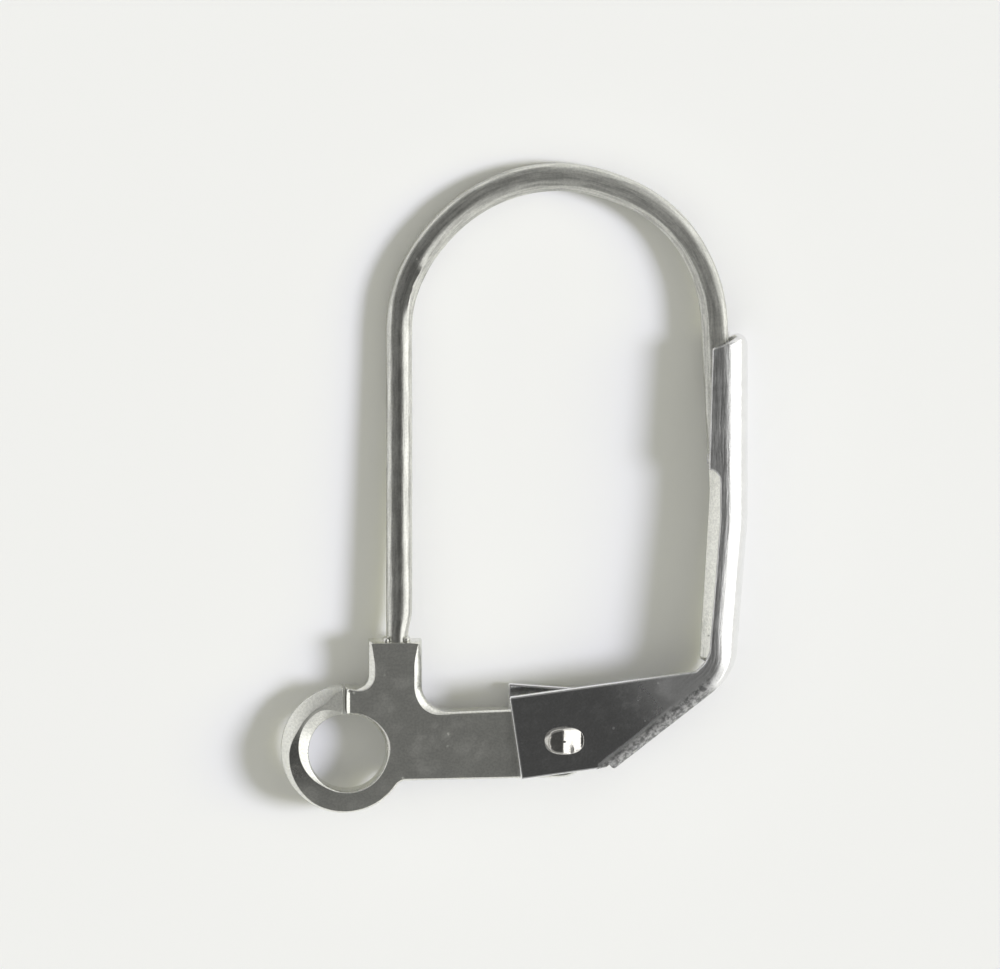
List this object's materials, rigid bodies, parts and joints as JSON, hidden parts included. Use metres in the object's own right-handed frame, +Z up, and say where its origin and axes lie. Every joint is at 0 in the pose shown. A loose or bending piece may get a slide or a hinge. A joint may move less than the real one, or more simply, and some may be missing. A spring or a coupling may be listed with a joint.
{
  "type": "leverback earring finding",
  "caption": "Lever-back earring: a bent ear wire on a small foot plate with an open charm ring, closed by a folded hinged lever.",
  "frame": {"origin": "bottom centre of the bounding box of the earring lying on its side", "axes": "+Y from the charm ring towards the arch, +X from the straight leg towards the lever, +Z up, square to the surface it lies on"},
  "size_m": [0.0114, 0.016, 0.0017],
  "materials": {
    "ear_wire": "polished",
    "lever": "polished",
    "hinge_rivet": "polished"
  },
  "bodies": {
    "ear_wire": {"ear_wire": "ear_wire"},
    "lever": {"lever": "lever", "hinge_rivet": "hinge_rivet"}
  },
  "joints": [
    {"name": "lever_hinge", "type": "hinge", "parent": "ear_wire", "child": "lever", "pos_m": [0.00119, -0.00619, 0.0009], "axis": [0.0295, -0.0384, -0.9988], "range_deg": [0, 75]}
  ]
}
